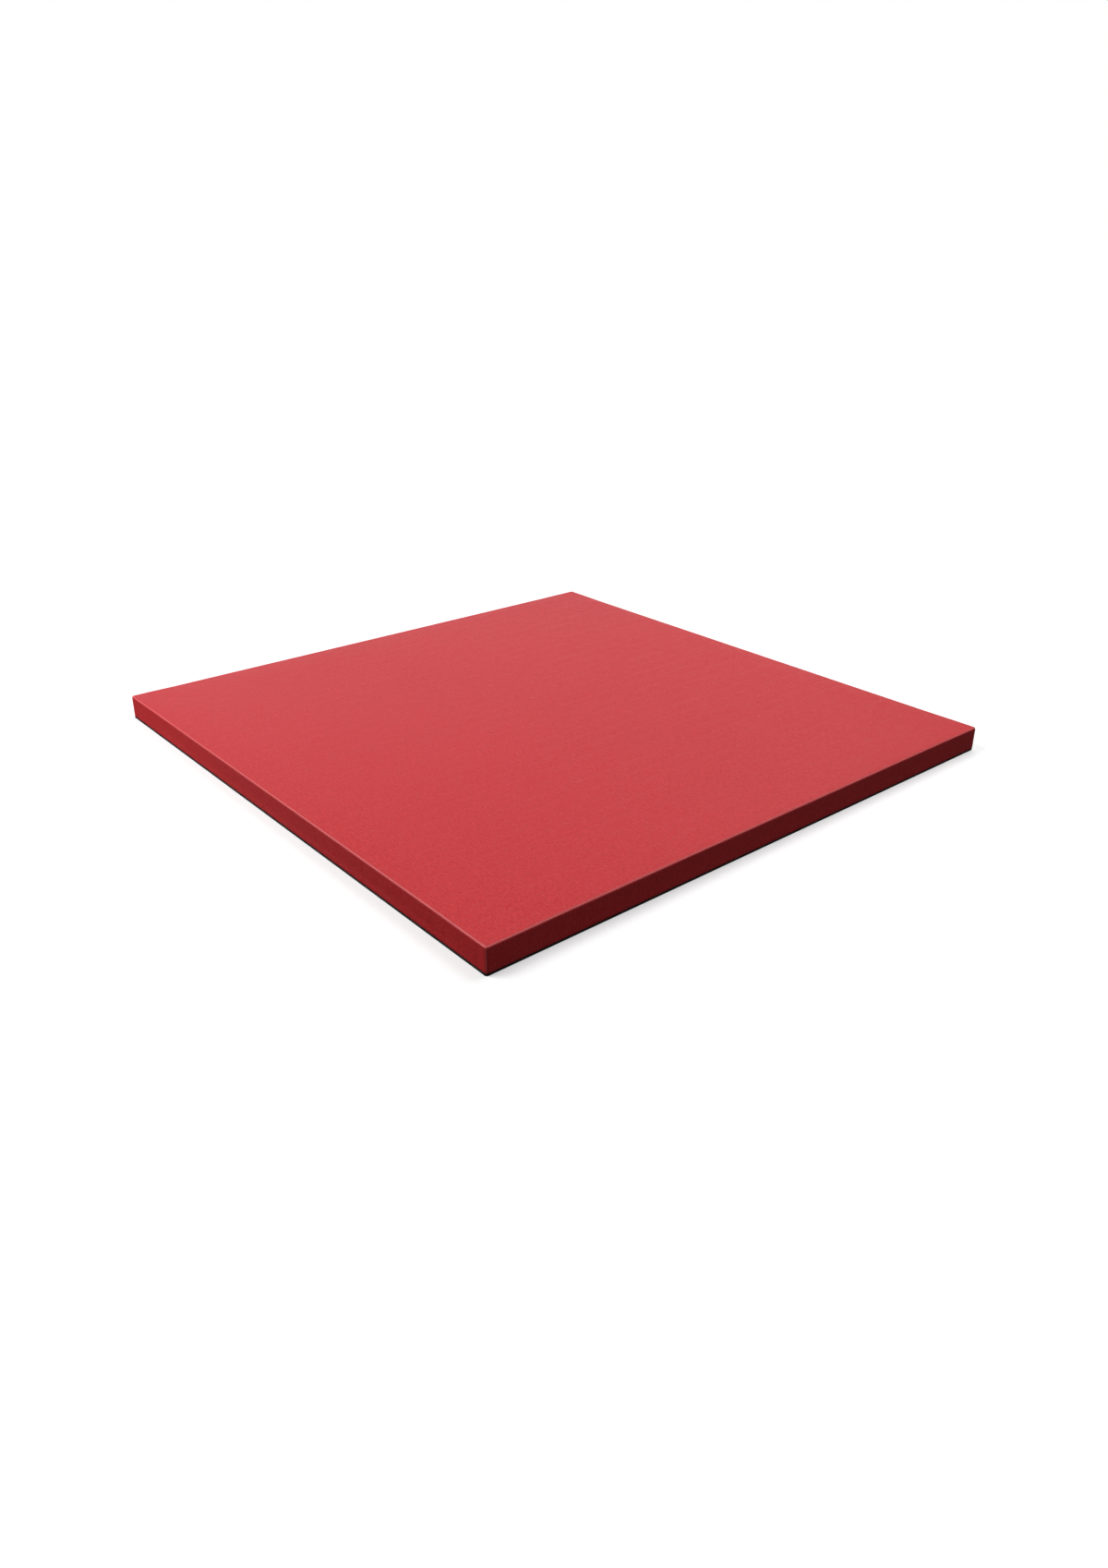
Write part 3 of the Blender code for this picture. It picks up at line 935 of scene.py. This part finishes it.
def slab(half, low_z, high_z, radius, edge):
    """A square slab with round corners and softened rims."""
    bm = bmesh.new()
    quarter = [math.pi / 2 * turn / 4 for turn in range(5)]
    section = [(edge * (1 - math.sin(a)), low_z + edge * (1 - math.cos(a))) for a in quarter]
    section += [(edge * (1 - math.cos(a)), high_z - edge * (1 - math.sin(a))) for a in quarter]
    rings = []
    for inset, z in section:
        outline = rounded_outline(half - inset, half - inset, max(radius - inset, 0.2 * MM))
        rings.append([bm.verts.new((x, y, z)) for x, y in outline])
    skin(bm, rings)
    bmesh.ops.recalc_face_normals(bm, faces=bm.faces)
    return bm


# ---------------------------------------------------------------- the pieces


def give(piece, slot, *nodes, body="mat"):
    """Fixes a finished piece to its body and hides the nodes that it stands for. The slot argument is not
    used.
    """
    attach(piece, body)
    if nodes:
        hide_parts(*nodes)
    return piece


def make_cover():
    """The vinyl cover: its sheet, blown up a little, with the zip's window and the straws pressed in."""
    sheet, net = cover_sheet(), net_sheet()
    mesh = sheet.mesh("tatami_cover_vinyl", spread(net, inflate(net), sheet))
    add_window_lip(mesh)
    cover = add_piece("tatami_cover_vinyl", mesh)
    apply_tree(cover, emboss_tree("straw_emboss"), depth=STRAW_DEPTH, vinyl=red_vinyl())
    give(cover, "red_vinyl", "tatami_cover")


def make_base(row):
    """The rubber sheet: a plain rim round a shallow field that small pads are moulded in."""
    low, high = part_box("anti_slip_base")
    rubber = black_rubber()
    pad, pitch, height = 3.5 * MM, 10 * MM, 0.4 * MM
    rim, slope = 5 * MM, 0.3 * MM
    bm = slab(HALF, low.z, high.z, CORNER, 0.3 * MM)
    field = min(bm.faces, key=lambda face: face.calc_center_median().z)
    bmesh.ops.inset_region(bm, faces=[field], thickness=rim)
    bmesh.ops.inset_region(bm, faces=[field], thickness=slope, depth=-height)
    sheet = piece_from("anti_slip_base_sheet", bm, rubber)
    bm = bmesh.new()
    bmesh.ops.create_cone(
        bm,
        cap_ends=False,
        segments=4,
        radius1=pad * 0.8,
        radius2=pad,
        depth=height,
    )
    bm.faces.new(sorted((v for v in bm.verts if v.co.z < 0), key=lambda v: math.atan2(v.co.y, v.co.x)))
    bmesh.ops.translate(bm, verts=bm.verts, vec=(0, 0, low.z + height / 2))
    pads = piece_from("anti_slip_pads", bm, rubber)
    pads.data.shade_flat()
    count = int((2 * HALF - 2 * pitch) / pitch) + 1
    start = -(count - 1) / 2 * pitch
    repeat(pads, row, count, (start, 0.0, 0.0), (pitch, 0.0, 0.0), rubber)
    repeat(pads, row, count, (0.0, start, 0.0), (0.0, pitch, 0.0), rubber)
    give(sheet, "black_rubber", "anti_slip_base")
    give(pads, "black_rubber")


def make_foam():
    """The foam slab, with a foot that stands down inside the cover's hem."""
    low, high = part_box("foam_core")
    foam = rebonded_foam()
    step = FOOT + LINING
    foot_inset = 18 * MM
    bm = slab(high.x, step, high.z, 1.6 * MM, FOLD - LINING)
    foot = slab(high.x - foot_inset, low.z, step + MM, 2 * MM, 0.3 * MM)
    spare = bpy.data.meshes.new("foot")
    foot.to_mesh(spare)
    foot.free()
    bm.from_mesh(spare)
    bpy.data.meshes.remove(spare)
    core = piece_from("foam_core_slab", bm, foam)
    give(core, "rebonded_foam", "foam_core")


def make_corner_patches():
    """The four vinyl angles behind the cover's upright corner joins."""
    backing = vinyl_backing()
    thickness = 0.8 * MM
    radius = CORNER - LINING - thickness / 2
    # A round corner is this much shorter than a sharp one
    cut_short = 0.43 * radius
    for end in ("front", "back"):
        for side in ("left", "right"):
            node = f"corner_patch_{end}_{side}"
            low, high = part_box(node)
            sx, sy = (1 if side == "right" else -1), (1 if end == "back" else -1)
            face_x = sx * (max(abs(low.x), abs(high.x)) - thickness / 2)
            face_y = sy * (max(abs(low.y), abs(high.y)) - thickness / 2)
            far_x, far_y = min(low.x, high.x, key=abs), min(low.y, high.y, key=abs)
            line = [(far_x, face_y)]
            for k in range(7):
                a = math.pi / 2 * (1 - k / 6)
                line.append(
                    (
                        face_x - sx * radius * (1 - math.cos(a)),
                        face_y - sy * radius * (1 - math.sin(a)),
                    )
                )
            line.append((face_x, far_y))
            patch = band(f"{node}_vinyl", line, low.z, high.z, thickness, backing)
            give(patch, "vinyl_backing", node)
            leg = abs(face_x - far_x) + abs(face_y - far_y) - cut_short


def make_zip_tapes():
    """The two woven tapes."""
    weave = zip_weave()
    for half in ("upper", "lower"):
        node = f"zip_tape_{half}"
        low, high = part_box(node)
        y = (low.y + high.y) / 2
        line = [(x, y) for x in np.linspace(low.x, high.x, 49)]
        tape = band(f"{node}_weave", line, low.z, high.z, high.y - low.y, weave)
        give(tape, "zip_tape", node)


def tooth(side):
    """One turn of the coil, from its tape (side 1 is above) over to its head, past the zip's centre."""
    bm = bmesh.new()
    run = [(3.3, -0.3, 0.0), (3.1, 0.45, 0.06), (2.2, 0.7, 0.16), (1.0, 0.68, 0.26), (0.1, 0.6, 0.32)]
    run += [(-0.5, 0.15, 0.36), (0.0, -0.35, 0.42)]
    points = [Vector((x, y, side * z)) * MM for z, y, x in run]
    radii = [r * MM for r in (0.38, 0.44, 0.45, 0.45, 0.52, 0.54, 0.4)]
    tube(bm, points, radii)
    return bm


def make_zip_coils(row):
    """The two rows of coil teeth, half a tooth apart."""
    nylon = coil_nylon()
    pitch = 1.4 * MM
    count = int(2 * COIL_HIGH.x / pitch)
    for half, side, shift in (("upper", 1, 0.0), ("lower", -1, pitch / 2)):
        coil = piece_from(f"zip_coil_{half}_teeth", tooth(side))
        start = (shift - count / 2 * pitch, HALF, ZIP_Z)
        repeat(coil, row, count, start, (pitch, 0.0, 0.0), nylon)
        give(coil, "zip_coil", f"zip_coil_{half}")


def make_stitches(row):
    """Two rows of stitches above the zip's window and two below, which hold the tapes."""
    dark = thread()
    pitch, length = 4.5 * MM, 3.3 * MM
    seam = 950 * MM
    count = int(seam / pitch)
    start = -(count - 1) / 2 * pitch
    heights = np.array([29.0, 31.6, 12.0, 9.4]) * MM
    for number, z in enumerate(heights):
        bm = bmesh.new()
        run = [(-0.5, -0.25, 0.16), (-0.4, 0.12, 0.28), (-0.15, 0.26, 0.31), (0.15, 0.26, 0.31)]
        run += [(0.4, 0.12, 0.28), (0.5, -0.25, 0.16)]
        points = [Vector((x * length, y * MM, 0.0)) for x, y, _ in run]
        tube(bm, points, [r * MM for _, _, r in run])
        stitches = piece_from(f"zip_stitches_{number + 1}", bm)
        repeat(stitches, row, count, (start, HALF, z), (pitch, 0.0, 0.0), dark)
        give(stitches, "red_vinyl")


def make_end_patches():
    """The vinyl patches over the zip's ends, with a pressed line round each."""
    vinyl = plain_vinyl()
    corner = 2.5 * MM
    rings = [(0.0, 0.0), (0.0, 0.45), (0.12, 0.62), (0.4, 0.66), (0.9, 0.5), (1.3, 0.5), (1.8, 0.74)]
    rings = [(inset * MM, height * MM) for inset, height in rings + [(2.6, 0.8)]]
    for side in ("left", "right"):
        node = f"zip_end_patch_{side}"
        low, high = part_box(node)
        centre = Vector(((low.x + high.x) / 2, low.y, (low.z + high.z) / 2))
        half_x, half_z = (high.x - low.x) / 2, (high.z - low.z) / 2
        patch = plate(f"{node}_vinyl", centre, half_x, half_z, corner, rings, vinyl)
        give(patch, "red_vinyl", node)


def soften(node, width, metal, slot, body="mat"):
    """The zip's metal in its own shape, with every edge rounded as it comes out of the die."""
    bm = bmesh.new()
    bm.from_mesh(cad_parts[node].data)
    bmesh.ops.remove_doubles(bm, verts=bm.verts, dist=0.01 * MM)
    bmesh.ops.dissolve_limit(bm, angle_limit=math.radians(2), verts=bm.verts, edges=bm.edges)
    sharp = [e for e in bm.edges if e.calc_face_angle(0.0) > math.radians(40)]
    bmesh.ops.bevel(bm, geom=sharp, offset=width, segments=3, profile=0.5, affect="EDGES")
    piece = piece_from(f"{node}_metal", bm, metal)
    piece.data.set_sharp_from_angle(angle=math.radians(35))
    give(piece, slot, node, body=body)


def make_zip_metal():
    """The slider and its tab in black enamel, and the stops in bare aluminium."""
    enamel, bare = slider_enamel(), stop_metal()
    soften("zip_slider", 0.3 * MM, enamel, "slider_metal", body="slider")
    soften("zip_pull_tab", 0.28 * MM, enamel, "slider_metal", body="pull_tab")
    for node in ("zip_top_stop_upper", "zip_top_stop_lower", "zip_bottom_stop"):
        soften(node, 0.3 * MM, bare, "zip_stop")


def make_mat():
    """Every piece of the mat."""
    row = row_tree("row_of_pieces")
    make_cover()
    make_base(row)
    make_foam()
    make_corner_patches()
    make_zip_tapes()
    make_zip_coils(row)
    make_stitches(row)
    make_end_patches()
    make_zip_metal()


make_camera()
make_light()
make_floor()
make_mat()
bpy.context.scene.view_settings.view_transform = "Standard"
